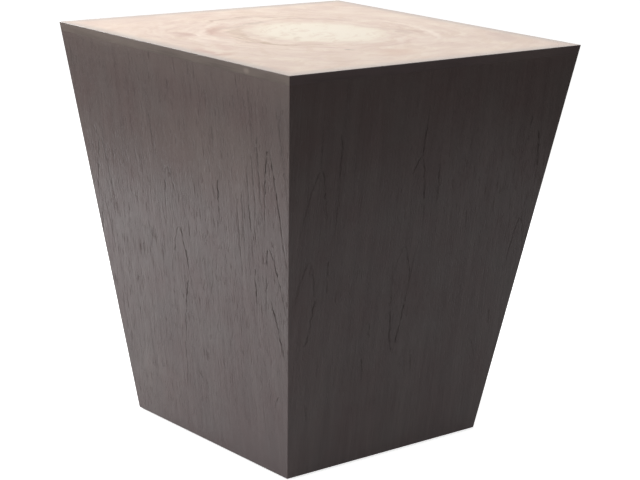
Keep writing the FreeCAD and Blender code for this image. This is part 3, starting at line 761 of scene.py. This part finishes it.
# A greyer border along the rim is painted shade of the slab's slightly eased edge
sides = add_node(tree, "VectorMath", {"operation": "ABSOLUTE"}, {0: place})
across = add_node(tree, "SeparateXYZ", {}, {"Vector": sides})
outward = add_node(tree, "Math", {"operation": "MAXIMUM"}, {0: across.outputs["X"], 1: across.outputs["Y"]})
slab_half = MM_IN_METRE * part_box("top_slab")[1].x
rim = add_node(tree, "MapRange", {"interpolation_type": "SMOOTHSTEP"}, {
    "Value": outward, "From Min": slab_half - RIM_SHADE_WIDTH, "From Max": slab_half + RIM_SHADE_PAST_EDGE,
    "To Max": RIM_PAINTED_SHADE})
colour = add_node(tree, "Mix", {"data_type": "RGBA"}, {0: rim, 1: colour, 2: linear("#B5ABA6")})
roughness = add_node(tree, "MapRange", {}, {"Value": arcs, "To Min": 0.32, "To Max": 0.42})
relief = add_node(tree, "Bump", {}, {"Strength": 0.1, "Distance": 0.0001, "Height": arcs})
finish_surface(tree, {"Base Color": colour, "Roughness": roughness, "IOR": 1.54, "Normal": relief})
dress("top_slab", slice_material)

# Lipping: four strips of the stained wood, a millimetre thick, mitred round the slab to hide its sawn edge.
# Their grain runs level, along the edge; their slightly paler band above the upright veneer is painted light.
LIPPING_GRAIN_LENGTH = 90.0
LIPPING_GRAIN_WIDTH = 1.4
LIPPING_BLOTCH = 45.0
LIPPING_BLOTCH_SHARE = 0.8
# Painted highlight towards the upper edge: the heights between which it pales, and by how much
LIPPING_HIGHLIGHT_HEIGHTS = (543.0, 563.0)
LIPPING_HIGHLIGHT_SHIFT = (-0.4, 0.6)
# Lit and shaded copies: the tones are paler on the lit left side and darker on the shaded front
LIPPING_LIT_AND_SHADED_TONES = {
    "front": ("#514647", "#584C4D"),
    "right": ("#564B4B", "#625757"),
    "back": ("#554A4A", "#615656"),
    "left": ("#5C534F", "#6B615C"),
}
for side, turn in SIDE_TURNS.items():
    # Stained and matt lacquered like the veneer; long level streaks, fewer pores and no arches.
    material, tree = new_material(f"stained_straight_grained_lipping_{side}")
    face = millimetres(tree, turn)
    along = millimetres(tree, turn, (LIPPING_GRAIN_LENGTH, LIPPING_GRAIN_WIDTH, LIPPING_GRAIN_WIDTH))
    grain = add_node(tree, "TexNoise", {}, {"Vector": along, "Scale": 1.0, "Detail": 2.0})
    blotch = add_node(tree, "TexNoise", {}, {"Vector": face, "Scale": 1 / LIPPING_BLOTCH, "Detail": 2.0})
    uneven = add_node(tree, "Math", {"operation": "MULTIPLY_ADD"}, {
        0: blotch, 1: LIPPING_BLOTCH_SHARE, 2: grain})
    axes = add_node(tree, "SeparateXYZ", {}, {"Vector": face})
    # Painted highlight: paler towards the upper edge, darker low down
    top_highlight = add_node(tree, "MapRange", {}, {
        "Value": axes.outputs["Z"], "From Min": LIPPING_HIGHLIGHT_HEIGHTS[0], "From Max": LIPPING_HIGHLIGHT_HEIGHTS[1],
        "To Min": LIPPING_HIGHLIGHT_SHIFT[0], "To Max": LIPPING_HIGHLIGHT_SHIFT[1]})
    figure = add_node(tree, "Math", {"operation": "ADD"}, {0: uneven, 1: top_highlight})
    dark, light = LIPPING_LIT_AND_SHADED_TONES[side]
    colour = add_node(tree, "ValToRGB", {"stops": [(0.7, dark), (1.0, light)]}, {"Fac": figure})
    # Painted light: the same paler patches, highlights along the top edge
    light_patched = paint_light_patches(tree, side, face, colour)
    relief = add_node(tree, "Bump", {}, {"Strength": 0.15, "Distance": 0.0002, "Height": grain})
    finish_surface(tree, {"Base Color": light_patched, "Roughness": 0.32, "Normal": relief})
    dress(f"{side}_lipping", material)

# Stage: white studio paper under the table, rolled out over a grey floor, under soft light.
# To the camera the floor is white throughout, and keeps the table's shadow; the lacquer mirrors the paper,
# which ends beside and before the table. Sizes here are in metres.
FLOOR_SIZE = 12.0
FLOOR_DROP = 0.0005
PAPER_TURN = 11.0
PAPER_HALF_WIDTH = 1.0
PAPER_SHIFT = 0.16
PAPER_FRONT = -0.75
PAPER_FADE = 0.1
FLOOR_WHITE_NEAR = 0.80
FLOOR_WHITE_FAR = 1.0
FLOOR_NEAR = 0.3
FLOOR_FAR = 0.7
half = FLOOR_SIZE / 2
floor_mesh = bpy.data.meshes.new("studio_floor")
floor_corners = [(-half, -half, -FLOOR_DROP), (half, -half, -FLOOR_DROP), (half, half, -FLOOR_DROP),
                 (-half, half, -FLOOR_DROP)]
floor_mesh.from_pydata(floor_corners, [], [(0, 1, 2, 3)])
floor = bpy.data.objects.new("studio_floor", floor_mesh)
bpy.context.scene.collection.objects.link(floor)
paper, tree = new_material("matt_white_paper_on_grey_floor")
# Matt paper and painted concrete have no shine of their own.
floor_mesh.materials.append(paper)
spot = add_node(tree, "TexCoord", {}, {})
turned = add_node(tree, "Mapping", {}, {
    "Vector": spot.outputs["Object"],
    "Location": (-PAPER_SHIFT, 0, 0),
    "Rotation": (0, 0, math.radians(PAPER_TURN)),
})
sides = add_node(tree, "SeparateXYZ", {}, {"Vector": turned})
beside = add_node(tree, "Math", {"operation": "ABSOLUTE"}, {0: sides.outputs["X"]})
between = add_node(tree, "MapRange", {"interpolation_type": "SMOOTHSTEP"}, {
    "Value": beside, "From Min": PAPER_HALF_WIDTH + PAPER_FADE, "From Max": PAPER_HALF_WIDTH - PAPER_FADE})
behind = add_node(tree, "MapRange", {"interpolation_type": "SMOOTHSTEP"}, {
    "Value": sides.outputs["Y"], "From Min": PAPER_FRONT - PAPER_FADE, "From Max": PAPER_FRONT + PAPER_FADE})
on_paper = add_node(tree, "Math", {"operation": "MULTIPLY"}, {0: between, 1: behind})
colour = add_node(tree, "Mix", {"data_type": "RGBA"}, {
    0: on_paper, 1: linear("#7A736B"), 2: linear("#E6E6E6")})
rays = add_node(tree, "LightPath", {}, {})
distance = add_node(tree, "VectorMath", {"operation": "LENGTH"}, {0: spot.outputs["Object"]})
whiteness = add_node(tree, "MapRange", {}, {
    "Value": distance.outputs["Value"], "From Min": FLOOR_NEAR, "From Max": FLOOR_FAR,
    "To Min": FLOOR_WHITE_NEAR, "To Max": FLOOR_WHITE_FAR})
glow = add_node(tree, "Math", {"operation": "MULTIPLY"}, {0: rays.outputs["Is Camera Ray"], 1: whiteness})
matt = add_node(tree, "BsdfDiffuse", {}, {"Color": colour})
white = add_node(tree, "Emission", {}, {"Color": linear("#FFFFFF"), "Strength": glow})
both = add_node(tree, "AddShader", {}, {0: matt, 1: white})
add_node(tree, "OutputMaterial", {}, {"Surface": both})

# Room: an even white room round the stage, which fills the shadows with a little light.
# It is plain white where the camera sees it, and where metal and lacquer mirror it.
ROOM_LIGHT = 0.24
world = bpy.data.worlds.new("studio_room")
bpy.context.scene.world = world
world.use_nodes = True
tree = world.node_tree
tree.nodes.clear()
rays = add_node(tree, "LightPath", {}, {})
mirrored = add_node(tree, "Math", {"operation": "MAXIMUM"}, {
    0: rays.outputs["Is Glossy Ray"], 1: rays.outputs["Is Transmission Ray"]})
seen = add_node(tree, "Math", {"operation": "MAXIMUM"}, {0: rays.outputs["Is Camera Ray"], 1: mirrored})
strength = add_node(tree, "MapRange", {}, {"Value": seen, "To Min": ROOM_LIGHT, "To Max": 1.0})
room = add_node(tree, "Background", {}, {"Color": linear("#FFFFFF"), "Strength": strength})
add_node(tree, "OutputWorld", {}, {"Surface": room})

# Lamps: three square softboxes on stands, behind on the left, beside on the left and overhead.
# Each has its place, the spot it points at and its size in metres, and its power in watts.
LAMPS = {
    "back_softbox": ((-0.5, 1.5, 1.2), (-0.45, 0.6, 0.0), 0.8, 33.5),
    "side_softbox": ((-2.2, -0.2, 0.5), (0.0, 0.0, 0.3), 1.0, 21.5),
    "overhead_softbox": ((0.5, -0.4, 1.9), (0.0, 0.0, 0.3), 1.2, 6.9),
}
for name, (place, aim, size, power) in LAMPS.items():
    lamp = bpy.data.lights.new(name, "AREA")
    lamp.size = size
    lamp.energy = power
    holder = bpy.data.objects.new(name, lamp)
    holder.location = place
    holder.visible_camera = False
    holder.rotation_euler = (Vector(place) - Vector(aim)).to_track_quat("Z", "Y").to_euler()
    bpy.context.scene.collection.objects.link(holder)

# Camera: a long lens at the photograph's place, a little above the top and slightly out of level.
# The angles are from the front and above the floor; the aim is how far right of and above the foot it points.
CAMERA_AZIMUTH = math.radians(-40.30)
CAMERA_ELEVATION = math.radians(14.594)
CAMERA_ROLL = math.radians(1.871)
CAMERA_LENS = 105.66
CAMERA_DISTANCE = 2.71356
CAMERA_AIM = (0.02134, 0.25528)
back = Vector((
    math.sin(CAMERA_AZIMUTH) * math.cos(CAMERA_ELEVATION),
    -math.cos(CAMERA_AZIMUTH) * math.cos(CAMERA_ELEVATION),
    math.sin(CAMERA_ELEVATION),
))
level = Vector((math.cos(CAMERA_AZIMUTH), math.sin(CAMERA_AZIMUTH), 0.0))
upward = back.cross(level)
right = level * math.cos(CAMERA_ROLL) + upward * math.sin(CAMERA_ROLL)
above = upward * math.cos(CAMERA_ROLL) - level * math.sin(CAMERA_ROLL)
foot = Vector((0.0, 0.0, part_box("front_face_veneer")[0].z))
eye = foot + right * CAMERA_AIM[0] + above * CAMERA_AIM[1] + back * CAMERA_DISTANCE
lens = bpy.data.cameras.new("photo_camera")
lens.lens = CAMERA_LENS
camera = bpy.data.objects.new("photo_camera", lens)
camera.matrix_world = Matrix.Translation(eye) @ Matrix((right, above, back)).transposed().to_4x4()
bpy.context.scene.collection.objects.link(camera)
bpy.context.scene.camera = camera
bpy.context.scene.view_settings.view_transform = "Standard"
